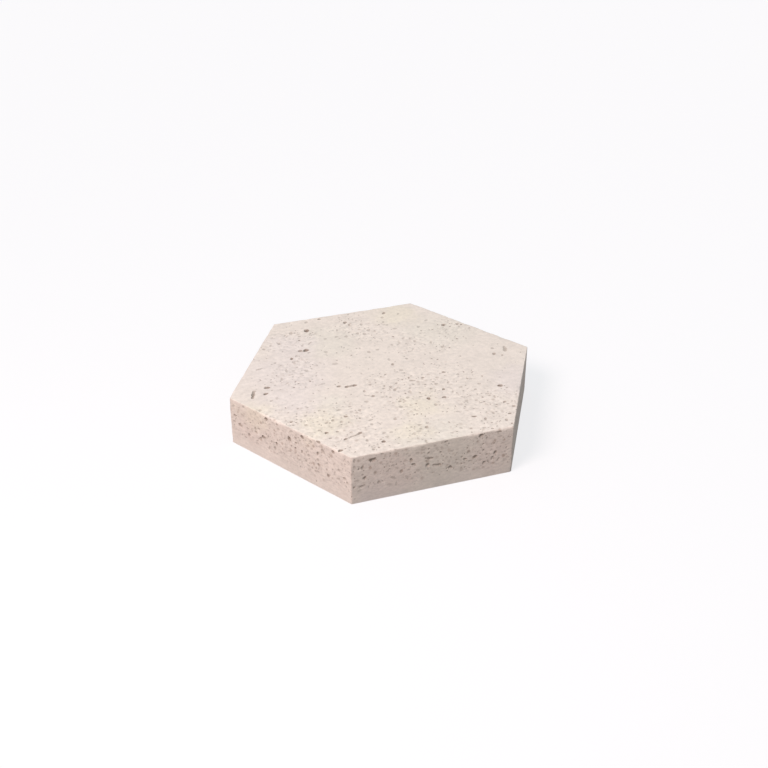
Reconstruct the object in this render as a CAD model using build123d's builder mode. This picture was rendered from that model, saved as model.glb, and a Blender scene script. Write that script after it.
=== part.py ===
"""Hexagonal paving slab, cast in one piece.

A regular hexagonal prism that lies on its bed face. Two of its corners are on the X axis and two of its
joint faces look along +Y and -Y. The origin is the centre of the bed face. Sizes are in millimetres.
"""

import os

from build123d import *

# Driving dimensions
across_flats = 325.0  # from one joint face to the opposite one
thickness = 60.0  # from the bed face to the walking face
arris_radius = 1.0  # easing of the upright corners and of the walking face's rim
side_count = 6

# The slab
with BuildPart() as slab:
    with BuildSketch(Plane.XY):
        RegularPolygon(radius=across_flats / 2, side_count=side_count, major_radius=False)
    extrude(amount=thickness)
    walking_face = slab.faces().sort_by(Axis.Z)[-1]
    upright_corners = slab.edges().filter_by(Axis.Z)
    fillet(walking_face.edges() + upright_corners, radius=arris_radius)
slab.part.label = "slab"

os.makedirs("parts", exist_ok=True)
export_step(slab.part, "parts/slab.step")
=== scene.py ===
"""Looks of the hexagonal paving slab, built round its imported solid.

One piece, the cast stone, stands for the solid. Its faces are flat and its arrises eased, and each air void
wider than about a millimetre is a real hollow in the mesh. Finer grain and pinholes are in the material.
Shapes are worked out in millimetres, and the finished mesh is in metres.
"""

import math
import random
from dataclasses import dataclass

import bpy
import numpy as np
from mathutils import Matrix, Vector, noise
from mathutils.geometry import delaunay_2d_cdt


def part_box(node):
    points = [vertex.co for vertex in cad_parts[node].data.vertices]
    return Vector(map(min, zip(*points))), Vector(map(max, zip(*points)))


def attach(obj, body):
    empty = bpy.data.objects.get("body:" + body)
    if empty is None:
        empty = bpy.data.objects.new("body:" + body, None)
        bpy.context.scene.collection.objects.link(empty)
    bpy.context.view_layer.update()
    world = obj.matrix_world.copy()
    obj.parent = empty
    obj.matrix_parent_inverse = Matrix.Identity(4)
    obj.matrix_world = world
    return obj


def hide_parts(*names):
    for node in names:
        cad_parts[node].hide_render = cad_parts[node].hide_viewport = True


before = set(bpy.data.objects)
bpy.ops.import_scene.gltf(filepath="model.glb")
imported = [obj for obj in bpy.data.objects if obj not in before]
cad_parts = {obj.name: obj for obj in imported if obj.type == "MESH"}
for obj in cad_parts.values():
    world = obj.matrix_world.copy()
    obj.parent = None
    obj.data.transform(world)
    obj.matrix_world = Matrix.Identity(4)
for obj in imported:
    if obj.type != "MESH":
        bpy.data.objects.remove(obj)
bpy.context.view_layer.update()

# The solid's sizes, read from the frame
MM = 0.001
slab_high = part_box("slab")[1]
HALF_FLATS = slab_high.y / MM
THICKNESS = slab_high.z / MM
SIDE = 2 * HALF_FLATS / math.sqrt(3)
SIDE_COUNT = 6
TURN = 360 // SIDE_COUNT  # from one side to the next, in degrees

# Edges and surface
ARRIS_RADIUS = 0.45  # easing of the walking face's rim and of the upright corners
ARRIS_ROWS = (ARRIS_RADIUS, 1.3)  # rows of mesh points along an eased edge, by their distance from it
EDGE_STEP = 2.0  # between mesh points along an edge
CHIP_STEP = 0.6  # the same along a chip
CHIP_SPAN = 0.6  # how far to each side of a chip's middle they are close, over its length
LEAST_STEP = 0.7 * CHIP_STEP
FILL_STEP = 4.2  # between mesh points on a plain stretch of a face
FILL_RISE = 0.866  # between the rows of their grid, over the step in a row
FILL_SHAKE = 0.9  # how far they are moved at random
FILL_MARGIN = 2.0  # how far they stay from an edge,
FILL_GAP = 1.6  # and from finer points
FINE_GAP = 0.28  # the least distance between two mesh points
EDGE_GAP = 0.2  # the same between an edge and a point of a face
HAIR = 0.01  # a margin for rounding
TWO_JOINT_FACES = 1.5  # a sum of normals that is longer than this in plan has two of them
NO_LENGTH = 1e-9  # keeps a division from failing
TINY = 1e-6  # two points this close are one to the triangle maker
OUTLINE_BEND = 0.02  # how much a face's outline is bent while its triangles are made
SHARP_ANGLE = 46.0  # between two triangles, in degrees, from which their edge isn't shaded smooth
WAVE_HEIGHT = 0.12  # gentle unevenness of the cast faces
WAVE_LENGTH = 22.0
WEAR_HEIGHT = 0.15  # wear along the arrises
WEAR_LENGTH = 4.5
WEAR_SHARE = 0.25  # more than 0 wears more than half of an arris
WEAR_SHIFT = (7, 3, 1)  # where its noise is read, in wear lengths
WEAR_REACH = 1.4  # how far from an arris the wear goes

# Air voids
SEED = 20
SMALLEST_VOID = 1.2
LARGEST_VOID = 6.0  # of those that are strewn at random
LARGEST_BETWEEN_SEEN = 2.8  # the same, on a face whose large voids are placed from the photo
VOID_POWER = 1.9  # how fast the number of voids falls with their size
LONG_VOID = 2.0  # length over width from which a void is a row of hollows
LOBED_VOID = 3.4  # length from which a void has lobes
SMALL_VOID = 1.9  # length up to which a hollow has fewer mesh points
# The dark cover is the voids' dirt and painted shade, in and round each hollow
COVER_FROM = 1.4  # a void's dark cover starts here, where 1 is its rim,
COVER_FULL = 0.7  # and is full from here to its middle
RINGS = (1.0, 0.88, 0.66, 0.36, COVER_FROM)  # of mesh points, where 1 is the hollow's rim
SMALL_RINGS = (1.0, 0.55, COVER_FROM)
RING_STEP = 0.72  # between mesh points on a ring
SMALL_RING_STEP = 0.62
LEAST_ON_RIM = 7  # mesh points on a ring, at least
LEAST_INSIDE = 5
CHIP_RINGS = (1.0, 0.75, 0.45, 1.25)
# A hollow's random shape. A pair is a range.
DEPTH_SHARE = (0.36, 0.56)  # depth over mean width, in the darkest
LEAST_DEPTH = 0.08  # the palest ones' share of that, before the power
PALEST_TONE = 0.25
DEPTH_POWER = 1.2
BLUNTNESS = (0.45, 0.75)
RIM_WAVES = (2, 3, 5, 7)  # waves round its rim
RIM_WAVE_HEIGHT = 0.34
RIM_WAVE_SHARE = (0.3, 1.0)
# A long void's hollows, over its width
ROW_COUNT = 1.5
ROW_SIZE = (0.7, 1.15)
ROW_SWAY = 0.2
ROW_LEAN = 25  # degrees
ROW_STRETCH = 1.35
ROW_TONE = (0.7, 1.0)
# A large void's lobes
LOBE_COUNTS = (0, 1, 2, 2)
LOBE_SIZE = (0.35, 0.6)
LOBE_AWAY = 0.42
LOBE_STRETCH = (1.0, 1.5)
LOBE_TONE = 0.85
# Where voids are strewn
SWARM_SCALE = 0.021
SWARM_RISE = 40  # where the swarms' noise is read, over the slab's own height
SWARM_LEAST = 0.25  # the chance of a void between swarms
CALM_LEAST = 0.16  # what the chance is multiplied by where the walking face isn't busy
STREWN_STRETCH = 1.4  # how much longer than wide a strewn void may be
STRETCH_POWER = 2.5  # how rare the longest ones are
STREWN_DARK = (0.22, 0.62)
LENGTH_DARK = 0.08  # how much darker each millimetre of length makes it
STREWN_MARGIN = 0.5  # from eased edges and chips
STREWN_GAP = 0.35  # from other voids
PLAIN_BAND = 13.5  # the lowest part of the joint faces, which has hardly any voids
BAND_WAVE = 3  # how far its border goes up and down
BAND_WAVE_SCALE = 0.05
BAND_FADE = 4  # the height over which the voids set in
BAND_LEAST = 0.03  # what the chance is multiplied by in the band
WALKING_VOIDS = 720
JOINT_VOIDS = 110
BED_VOIDS = 140
SPOT_CORE = 0.3  # the share of a busy or coloured spot's radius over which it is full
SPOT_BEND = 14.0  # how far a busy spot's border is bent
BEND_SHIFTS = (0, 17, 31)  # where the bend's three parts are read, in bend lengths
SPOT_BEND_LENGTH = 34.0
NEAR_EDGE_DEPTH = 0.9  # of the room that a hollow has beside an edge
LEAST_ROOM = 0.1
# The placed voids' darkness, their dirt and painted shade, is changed by these, a scale and a power
SEEN_TONE = {"walking": (0.98, 0.78), 210: (0.92, 1.0), 270: (0.78, 1.0)}
STREWN_TONE = {"walking": 1.15}  # the scale for those that are strewn at random
CHIPS_ON_RIM = 3
CHIPS_ON_UPRIGHT = 2
# how dark the chips' recesses are painted: painted shade, in the voids' dark colour
CHIP_SHADE = 0.55
SEEN_CHIP_SHADE = 0.9
WORN_ON_RIM = 7  # long shallow stretches of wear
WORN_ON_UPRIGHT = 2
CHIP_LENGTH = (2.2, 4.2)
CHIP_PLACE = (0.08, 0.92)  # along its edge, as a share of it
CHIP_REACH = (0.22, 0.34)  # over its length
CHIP_GAP = 1  # between two chips
WORN_LENGTH = (8, 34)
WORN_REACH = (0.5, 1.25)
CHIP_DEPTH = 0.8  # over its reach
CHIP_SIDE_FALL = 0.25  # how fast its floor rises across the arris
CHIP_LUMPS = 0.12  # the height of the floor's lumps, over its reach
LUMP_SCALES = (0.9, 2.1)
CHIP_COVER = 5  # how fast a chip's shade sets in with its depth

# Voids that stand out in the photo: place on the face, length and width (mm), turn (degrees) and darkness.
# On the walking face the place is x and y. On a joint face it is the way along it from its middle, seen
# from outside, and the height over the bed.
WALKING_FACE_VOIDS = [
    (-59, 131, 7.8, 6, 70, 1), (-74, 81, 7.4, 6.2, 20, 1), (-81, 82, 6, 4.6, -10, 0.7),
    (-96, 66, 5.5, 3.5, 80, 0.9), (-141, 8, 6, 4.5, 0, 1), (-161, -4, 13, 3.4, 72, 1),
    (-158, 4, 5.4, 3.8, 50, 0.6), (-146, -5, 5, 4.2, 20, 0.9), (-62, -16, 4.5, 4, 0, 0.8),
    (-53, -20, 5.2, 4.8, 0, 0.8), (-44, -20, 5.6, 4.6, 20, 0.9), (-48, -20, 8, 3, 2, 0.7),
    (-79, -5, 9, 2.4, 8, 0.35), (-139, 54, 8.5, 2.4, 10, 0.5), (-50, 37, 6.5, 5, 0, 0.3),
    (15, 13, 5, 3.2, 70, 0.6), (27, -76, 5.6, 4, 70, 1), (45, -79, 4.8, 3.6, 10, 0.8),
    (51, -62, 4.6, 3, 65, 0.9), (24, -31, 6.5, 2, -22, 0.8), (22, -24, 4, 2, 80, 0.8),
    (38, -29, 3.6, 3.2, 0, 0.7), (66, -25, 4.2, 3.6, 0, 0.7), (80, -35, 3.6, 3, 0, 0.4),
    (116, -76, 5.6, 5, 0, 1), (141, -3, 5.4, 4.2, 50, 0.7), (159, 5, 14, 4.4, 72, 0.55),
    (145, 11, 4.5, 3.6, 40, 0.4), (111, 89, 6.2, 3.6, 72, 0.9), (129, 86, 5, 4, 60, 0.6),
    (-6, 137, 5.4, 4.6, 0, 0.8), (-3, 129, 3.8, 2.6, 80, 0.7), (50, 146, 5.2, 3.6, 60, 0.8),
    (67, 138, 4, 3, 80, 0.4), (-35, 157, 4.2, 3.4, 0, 0.7), (-53, 154, 5, 3.4, 40, 0.4),
    (-101, 109, 6, 4, 80, 0.4), (-122, 101, 4.4, 3.6, 60, 0.4), (-2, 52, 6, 3.6, 80, 0.4),
    (-110, 40, 8, 2.6, 80, 0.4), (88, 35, 5, 3.6, 80, 0.35), (-31, -50, 3.8, 3.4, 0, 0.8),
    (-6, -71, 3.5, 3.2, 0, 0.6), (-74, -82, 4.2, 3.8, 0, 0.8), (-90, -85, 4, 3, 70, 0.6),
    (-104, -107, 4, 3.2, 60, 0.9), (-92, -109, 3.2, 2.8, 0, 0.6), (-50, -98, 5.5, 2.8, 10, 0.4),
    (-24, -105, 3.5, 3, 0, 0.6), (-71, -120, 7.5, 3.4, 18, 0.8), (-79, -123, 12, 2.2, 19, 0.6),
    (-88, -126, 5, 3.2, 25, 0.8), (-51, -144, 4.6, 4.2, 0, 1), (3, -132, 4.4, 3.6, 50, 0.7),
    (61, -129, 5.4, 2.8, -8, 0.8), (71, -137, 4.2, 3.2, 70, 0.6), (101, -136, 3.4, 3, 0, 0.8),
    (106, -111, 4.2, 3.4, 60, 0.7), (112, -123, 4, 3, 0, 0.7), (-80, 131, 6, 4.2, 70, 0.35),
    (-72, 119, 3.6, 3.2, 0, 0.4), (-112, 107, 3.6, 3, 60, 0.35), (-75, 94, 3.6, 3, 80, 0.4),
    (-72, 74, 3.6, 2.6, 0, 0.5), (-89, 71, 4, 3, 70, 0.4), (-52, 69, 5, 4.6, 0, 0.3),
    (-43, 102, 4.2, 4, 0, 0.25), (-28, 103, 4.2, 3.8, 0, 0.3), (-16, 100, 5.2, 4.6, 60, 0.3),
    (0, 103, 5, 4, 80, 0.35), (8, 99, 4.6, 3.8, 80, 0.35), (16, 107, 5, 4.2, 70, 0.4),
    (12, 125, 5, 3.8, 75, 0.35), (-22, 120, 5, 2.6, 75, 0.35), (9, 137, 3.4, 3, 0, 0.35),
    (44, 135, 5, 3.8, 70, 0.35), (41, 122, 4.2, 3, 70, 0.35), (49, 100, 5, 4.6, 0, 0.3),
    (79, 95, 4.6, 4, 70, 0.35), (95, 109, 4.4, 4, 0, 0.3), (50, 72, 3.6, 3.2, 0, 0.4),
    (58, 69, 3.6, 3.2, 0, 0.4), (61, 60, 5, 3, 75, 0.4), (79, 50, 5, 3, 75, 0.35), (10, 54, 5, 4, 0, 0.3),
    (31, 60, 4, 3, 80, 0.3), (36, 21, 3.6, 3, 60, 0.45), (20, -4, 5, 4, 0, 0.3),
    (15, 26, 6, 2.5, 75, 0.3), (-87, 32, 5, 4.2, 0, 0.3), (-95, 27, 4.2, 3.8, 0, 0.25),
    (-120, 22, 6, 3, 80, 0.35), (-96, 57, 5, 4, 80, 0.35), (-144, -22, 4, 3, 0, 0.4),
    (-161, -38, 5, 3, 70, 0.45), (-37, -36, 5, 3, 75, 0.45), (-26, -24, 3.4, 3, 0, 0.4),
    (-42, -59, 5, 4, 0, 0.35), (-55, -74, 5, 3, 75, 0.45), (-65, -74, 4.2, 3.8, 0, 0.3),
    (-77, -66, 6, 3.2, 10, 0.35), (-82, -91, 4, 3, 20, 0.45), (-98, -88, 4, 3, 30, 0.45),
    (-121, -84, 3.4, 3, 0, 0.4), (-110, -100, 3.4, 3, 0, 0.45), (-103, -119, 3.4, 3, 0, 0.5),
    (-52, -107, 4, 3, 80, 0.35), (-45, -128, 4.2, 3.4, 20, 0.35), (-44, -136, 4, 3, 0, 0.35),
    (-67, -136, 5, 2.5, 75, 0.45), (-37, -129, 4, 3.2, 0, 0.3), (-9, -83, 4.2, 3.8, 0, 0.35),
    (-5, -37, 5, 3, 75, 0.45), (4, -31, 3.4, 3, 0, 0.45), (-3, -45, 5, 3, 75, 0.45),
    (12, -55, 7, 3.6, 75, 0.35), (5, -66, 4, 3.2, 20, 0.35), (20, -69, 4.2, 2.4, 0, 0.35),
    (38, -56, 3.6, 3.2, 0, 0.5), (54, -34, 4, 3, 0, 0.4), (48, -47, 4, 3, 0, 0.35),
    (62, -49, 4.2, 3, 75, 0.4), (72, -64, 4, 3, 0, 0.4), (95, -64, 4, 3, 10, 0.45),
    (86, -74, 4, 3.2, 0, 0.4), (90, -50, 4, 3, 0, 0.35), (30, -91, 4.2, 3.8, 60, 0.4),
    (66, -95, 4.2, 3.8, 0, 0.35), (80, -104, 3.4, 3, 0, 0.35), (95, -88, 4, 3.2, 0, 0.4),
    (84, -129, 5, 3, 75, 0.4), (92, -147, 5, 3, 70, 0.5), (-3, -125, 4, 3, 0, 0.4),
    (7, -124, 4, 3, 0, 0.35), (-8, -137, 5, 2.4, 5, 0.35), (25, -152, 3.4, 3, 0, 0.35),
    (38, -146, 3.4, 3, 0, 0.35), (62, -154, 4, 3, 0, 0.4), (-66, -155, 3.4, 3, 0, 0.45),
    (49, -114, 6, 2.4, -30, 0.35), (-100, -145.5, 5.6, 4, 20, 0.9), (-8, -159, 5.6, 2.4, 80, 0.4),
    (-14, -38, 3.4, 2.8, 0, 0.5), (35, -45, 3, 2.6, 0, 0.5), (46, -42, 3, 2.6, 0, 0.45),
    (15, -47, 3.4, 2.6, 40, 0.45), (22, -40, 3, 2.4, 0, 0.4), (77, -97, 3.4, 2.8, 20, 0.4),
    (108, -116, 3.2, 2.6, 0, 0.5), (-4, -133, 3.2, 2.8, 0, 0.4), (-116, -66, 3.4, 2.8, 30, 0.4),
    (-98, -60, 3.6, 3, 0, 0.35), (-63, -63, 3.6, 3, 0, 0.35), (-102, 37, 4, 3.4, 0, 0.25),
    (-75, 130, 4, 2.8, 60, 0.35), (43, 113, 4.4, 3.2, 70, 0.3),
]
JOINT_FACE_210_VOIDS = [
    (-34, 56, 5, 3.4, 10, 1), (-17, 55.6, 4.2, 2.2, 15, 0.8), (22, 55.8, 5.2, 3.8, 8, 1),
    (68, 56.4, 4.2, 3.8, 60, 0.9), (2, 44.8, 5.6, 4.4, 10, 1), (12, 50, 3.4, 2.8, 70, 0.6),
    (12, 43.8, 3.2, 2.6, 0, 0.8), (11, 36.6, 3.2, 2.6, 70, 0.8), (21, 36.5, 4.4, 2.6, 85, 0.8),
    (45, 44.4, 4.8, 3, 85, 0.8), (53, 50, 5.6, 5.2, 40, 0.5), (46, 30, 3.6, 3.4, 0, 0.9),
    (58, 29, 3.2, 2.6, 60, 0.6), (60, 21.9, 3.6, 3.4, 0, 0.9), (43, 19.8, 7, 2.6, 20, 0.6),
    (70, 30, 5, 2.2, 85, 0.5), (84, 28.8, 5, 3, 0, 0.6), (-40, 29.6, 6, 3.6, 10, 1),
    (-19, 29.7, 3.8, 3.4, 20, 0.9), (-27, 29, 3.2, 2.6, 40, 0.6), (-22, 22.8, 4, 3.6, 80, 0.6),
    (-31, 18.8, 4.6, 2.8, 75, 0.5), (-52, 31, 4.6, 3, -20, 0.7), (-64, 22.2, 4, 3.6, 70, 0.7),
    (-78, 29.6, 7, 3.6, -5, 0.8), (-86, 40, 4.8, 2.4, 15, 0.9), (-88, 30.8, 4.2, 3, 30, 0.5),
    (-71, 57.4, 3.6, 2.4, 0, 0.5), (-29, 51, 4.6, 2.2, 20, 0.45), (-40, 48.8, 5, 2.6, 40, 0.4),
    (-15, 50.4, 4, 3, 30, 0.4), (5, 55.8, 5, 2.6, 20, 0.45), (35, 55.2, 4, 3, 0, 0.5),
    (31, 35.8, 4, 3, 60, 0.45), (36, 46.4, 4, 2.6, 45, 0.45), (45, 36, 3.6, 3, 0, 0.5),
    (76, 36.4, 4, 3, 0, 0.45), (75, 25, 5, 2.6, 20, 0.45), (27, 27, 3.6, 3, 70, 0.5),
    (17, 23.6, 4.2, 2.6, 30, 0.4), (1, 28.2, 4.2, 2.6, 20, 0.4), (-46, 25.4, 6, 2.4, 30, 0.7),
    (-53, 36, 3.6, 3, 80, 0.6), (-47, 37.4, 4.2, 2.6, 30, 0.55), (-66, 30.2, 4, 2.6, 20, 0.55),
    (-70, 35, 4.2, 2, 20, 0.45), (-51, 16.6, 5, 2.2, 15, 0.4), (-88, 52, 5, 3, 35, 0.35),
    (-14, 20, 6, 2.6, 15, 0.35), (-74, 45, 5, 3.2, 10, 0.3), (-62, 44.6, 5, 3.2, 10, 0.3),
]
JOINT_FACE_270_VOIDS = [
    (-70, 51.9, 6.6, 5.2, 5, 1), (-81, 44.8, 5.2, 3, 80, 0.7), (-79, 30.6, 4, 3.8, 60, 0.9),
    (-81, 35.6, 3.2, 2.2, 0, 0.6), (-82, 20.6, 7, 2.4, 12, 0.8), (-59, 57.6, 3.8, 1.9, 0, 0.6),
    (-26, 43.1, 3.4, 2.8, -20, 1), (-23, 36, 4.6, 2.8, -20, 1), (-4, 39.8, 6.6, 2.6, 5, 1),
    (-6, 46.9, 3.2, 3, 0, 0.7), (-6, 52.5, 3, 2.2, 0, 0.7), (-7, 31, 5, 4.4, 20, 0.8),
    (4, 29.3, 9.5, 3.2, -4, 0.9), (8, 45, 2.8, 2.4, 0, 0.8), (20, 22.9, 4.4, 3.6, -10, 0.9),
    (20, 44, 7, 2.2, 0, 0.4), (55, 56.3, 6, 4, 5, 1), (62, 52, 3.4, 2, 70, 0.7),
    (76, 56.5, 7, 2.2, 0, 0.7), (77, 50.6, 5, 2.2, 0, 0.5), (41, 37.5, 5, 3.8, 10, 0.5),
    (33, 33.4, 3.2, 2.6, 0, 0.7), (37, 29.6, 5.2, 2.6, -5, 0.9), (49, 30, 6.4, 3.2, -5, 1),
    (43, 26, 4, 2.8, 0, 0.5), (63, 30, 3.4, 3, 0, 0.6), (73, 30.6, 4.6, 4.2, 20, 0.9),
    (70, 23.5, 5, 4, 30, 0.6), (60, 19.8, 4.2, 3.8, 0, 0.8), (77, 20.6, 5, 2.8, 55, 0.6),
    (-63, 21.9, 4, 3.2, 80, 0.7), (-46, 23.8, 6, 2.6, -30, 0.5), (-53, 34, 3, 2.6, 0, 0.5),
    (-67, 36, 4, 3.4, 0, 0.4), (-38, 30, 4.2, 2, 85, 0.6), (-90, 55.4, 4, 2.6, 85, 0.6),
    (-90, 46.6, 4.4, 2.8, 85, 0.5), (-88, 29, 5, 3, 10, 0.4), (-85, 15.6, 4.4, 3, 40, 0.4),
    (-47, 40, 3.6, 2.6, 0, 0.45), (-51, 16.2, 5, 3, 0, 0.35), (-43, 15.4, 4.4, 3, 85, 0.4),
    (-28, 48.2, 3.2, 2.6, 0, 0.5), (-19, 49.4, 4, 3.8, 0, 0.4), (-29, 30.4, 3.2, 3, 0, 0.4),
    (-18, 27.4, 4.2, 3.8, 0, 0.35), (-31, 21.6, 5, 3, -45, 0.35), (1, 55, 3.6, 2.6, 0, 0.45),
    (9, 51, 3.2, 3, 0, 0.4), (15, 36.8, 4, 3, 85, 0.35), (18, 30.4, 4, 3.4, 85, 0.35),
    (28, 26, 3.2, 2.6, 80, 0.5), (55, 24.4, 4, 2.6, 0, 0.4), (85, 18.6, 4.2, 4, 0, 0.35),
    (53, 14.6, 5, 3, 0, 0.3), (33, 17, 5, 4, 85, 0.3), (-13, 55.8, 3.2, 2.2, 0, 0.45),
    (14, 57.2, 4.2, 2.8, 0, 0.8),
]
# Where the surface is busy with fine specks and voids: middle and radius (mm)
BUSY_SPOTS = [
    ((-6, -34, 60), 46), ((28, -42, 60), 56), ((64, -38, 60), 50), ((100, -108, 60), 52),
    ((70, -92, 60), 46), ((-4, -82, 60), 40), ((-104, -86, 60), 52), ((-70, -78, 60), 46),
    ((-72, -134, 60), 56), ((-4, -134, 60), 40), ((0, 124, 60), 46), ((14, 104, 60), 40),
    ((-98, 112, 60), 42), ((-72, 122, 60), 36), ((-96, 42, 60), 44), ((-112, 20, 60), 40),
    ((56, 62, 60), 40), ((118, 84, 60), 40), ((86, 38, 60), 30), ((-140, -80, 30), 95),
    ((-105, -120, 30), 60), ((-40, -162, 30), 60), ((70, -162, 30), 80),
]
# Chips in the walking face's rim: the joint face under them, the way along it, length and reach (mm)
RIM_CHIPS = [
    (210, 46, 8.0, 2.4),
    (150, 0, 4.6, 2.2),
    (90, -35, 3.6, 1.6),
]
# Worn stretches of that rim, given in the same way
RIM_WEAR = [
    (210, -12, 22, 1.3),
    (270, 82, 24, 1.8),
    (270, -60, 18, 1.2),
]


@dataclass
class Hollow:
    """A part of an air void: the mouth that it has on a face, its darkness (dirt and painted shade), depth
    and raggedness.
    """

    along: float
    up: float
    length: float
    width: float
    turn: float
    tone: float
    depth: float
    blunt: float  # the power that shapes its wall: 0.5 is round, and less has a flatter bottom
    lobes: list

    def axes(self):
        turn = math.radians(self.turn)
        return np.array([[math.cos(turn), math.sin(turn)], [-math.sin(turn), math.cos(turn)]])

    def rim(self, angle):
        """How far the ragged rim is from the middle at these angles, where 1 is a plain ellipse."""
        return 1 + sum(size * np.cos(count * angle + phase) for count, size, phase in self.lobes)

    def reach(self, spots):
        """How far out these spots are: 0 at the middle, 1 on the ragged rim."""
        local = (spots - (self.along, self.up)) @ self.axes().T / (self.length / 2, self.width / 2)
        return np.linalg.norm(local, axis=1) / self.rim(np.arctan2(local[:, 1], local[:, 0]))


@dataclass
class Chip:
    """A small break or worn stretch of an arris, centred on it."""

    edge: tuple
    at: float
    length: float
    reach: float
    # how dark its recess is painted, as painted shade; 0 for a worn stretch
    shade: float


@dataclass
class Side:
    """One side of a face's outline, on an edge that it shares with a neighbour."""

    edge: tuple
    forward: bool  # whether it goes the same way as the edge
    start: np.ndarray
    end: np.ndarray

    def __post_init__(self):
        self.length = np.linalg.norm(self.end - self.start)
        self.run = (self.end - self.start) / self.length
        self.inward = np.array([-self.run[1], self.run[0]])

    def spot(self, at, depth=0.0):
        """The spot at this way along the edge and this far into the face."""
        along = at if self.forward else self.length - at
        return self.start + self.run * along + self.inward * depth


class Face:
    """A flat face with axes of its own, u and v, and an outline of the slab's corners."""

    def __init__(self, name, origin, u, v, keys):
        self.name = name
        self.origin = np.array(origin, float)
        self.u = np.array(u, float)
        self.v = np.array(v, float)
        self.normal = np.cross(self.u, self.v)
        self.outline = np.array([self.flat(corner(key)) for key in keys])
        self.sides = []
        for i, key in enumerate(keys):
            after = (i + 1) % len(keys)
            edge = edge_key(key, keys[after])
            self.sides.append(Side(edge, edge[0] == key, self.outline[i], self.outline[after]))
        self.hollows = []

    def flat(self, point):
        """A point of the slab, in this face's u and v."""
        away = np.asarray(point, float) - self.origin
        return np.array([away @ self.u, away @ self.v])

    def solid(self, spot):
        """A spot of this face, as a point of the slab."""
        return self.origin + spot[0] * self.u + spot[1] * self.v

    def inset(self, spot):
        """How far a spot is from the nearest side; less than 0 is outside."""
        return min((spot - side.start) @ side.inward for side in self.sides)


class Crowd:
    """Spots on a face that keep clear of each other."""

    def __init__(self, cell):
        self.cell = cell
        self.cells = {}
        self.widest = 0.0

    def key(self, spot):
        return math.floor(spot[0] / self.cell), math.floor(spot[1] / self.cell)

    def clear(self, spot, gap):
        i, j = self.key(spot)
        steps = math.ceil((gap + self.widest) / self.cell)
        for a in range(i - steps, i + steps + 1):
            for b in range(j - steps, j + steps + 1):
                for x, y, reach in self.cells.get((a, b), ()):
                    if math.hypot(x - spot[0], y - spot[1]) < gap + reach:
                        return False
        return True

    def add(self, spot, reach=0.0):
        self.widest = max(self.widest, reach)
        self.cells.setdefault(self.key(spot), []).append((spot[0], spot[1], reach))


def corner(key):
    """A corner of the slab: its number round the hexagon, and 0 at the bed or 1 at the walking face."""
    number, level = key
    angle = math.radians(TURN * number)
    return np.array([SIDE * math.cos(angle), SIDE * math.sin(angle), THICKNESS * level])


def edge_key(a, b):
    return (a, b) if a < b else (b, a)


def next_corner(number):
    return (number + 1) % SIDE_COUNT


RIM = [edge_key((k, 1), (next_corner(k), 1)) for k in range(SIDE_COUNT)]
UPRIGHTS = [edge_key((k, 0), (k, 1)) for k in range(SIDE_COUNT)]
EASED = RIM + UPRIGHTS
TOP_SIDE = 2  # of a joint face's four


def make_faces():
    """The walking face, the bed face and the joint faces, which are named by the way they look in degrees."""
    ring = range(SIDE_COUNT)
    faces = {
        "walking": Face("walking", (0, 0, THICKNESS), (1, 0, 0), (0, 1, 0), [(k, 1) for k in ring]),
        "bed": Face("bed", (0, 0, 0), (1, 0, 0), (0, -1, 0), [(-k % SIDE_COUNT, 0) for k in ring]),
    }
    for k in ring:
        degrees = TURN // 2 + TURN * k
        x, y = math.cos(math.radians(degrees)), math.sin(math.radians(degrees))
        keys = [(k, 0), (next_corner(k), 0), (next_corner(k), 1), (k, 1)]
        faces[degrees] = Face("joint", (HALF_FLATS * x, HALF_FLATS * y, 0), (-y, x, 0), (0, 0, 1), keys)
    return faces


def make_hollow(rng, along, up, length, width, turn, tone):
    dark = max(LEAST_DEPTH, (tone - PALEST_TONE) / (1 - PALEST_TONE)) ** DEPTH_POWER
    depth = rng.uniform(*DEPTH_SHARE) * math.sqrt(length * width) * dark
    blunt = rng.uniform(*BLUNTNESS)
    lobes = []
    for count in RIM_WAVES:
        size = rng.uniform(*RIM_WAVE_SHARE) * RIM_WAVE_HEIGHT / count
        lobes.append((count, size, rng.uniform(0, 2 * math.pi)))
    return Hollow(along, up, length, width, turn, tone, depth, blunt, lobes)


def make_void(rng, along, up, length, width, turn, tone):
    """A void as overlapping hollows: a long one is a ragged row of them, and a large one has small lobes."""
    cos, sin = math.cos(math.radians(turn)), math.sin(math.radians(turn))

    def place(way, sway):
        return along + way * cos - sway * sin, up + way * sin + sway * cos

    if length > LONG_VOID * width:
        count = max(2, round(ROW_COUNT * length / width))
        hollows = []
        for i in range(count):
            size = width * rng.uniform(*ROW_SIZE)
            way = (length - width) * (i / (count - 1) - 0.5)
            spot = place(way, width * rng.uniform(-ROW_SWAY, ROW_SWAY))
            lean = turn + rng.uniform(-ROW_LEAN, ROW_LEAN)
            dark = tone * rng.uniform(*ROW_TONE)
            hollows.append(make_hollow(rng, *spot, ROW_STRETCH * size, size, lean, dark))
        return hollows
    hollows = [make_hollow(rng, along, up, length, width, turn, tone)]
    for _ in range(rng.choice(LOBE_COUNTS) if length > LOBED_VOID else 0):
        angle = rng.uniform(0, 2 * math.pi)
        size = width * rng.uniform(*LOBE_SIZE)
        spot = place(LOBE_AWAY * length * math.cos(angle), LOBE_AWAY * width * math.sin(angle))
        lean = turn + math.degrees(angle)
        stretched = size * rng.uniform(*LOBE_STRETCH)
        hollows.append(make_hollow(rng, *spot, stretched, size, lean, LOBE_TONE * tone))
    return hollows


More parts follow.
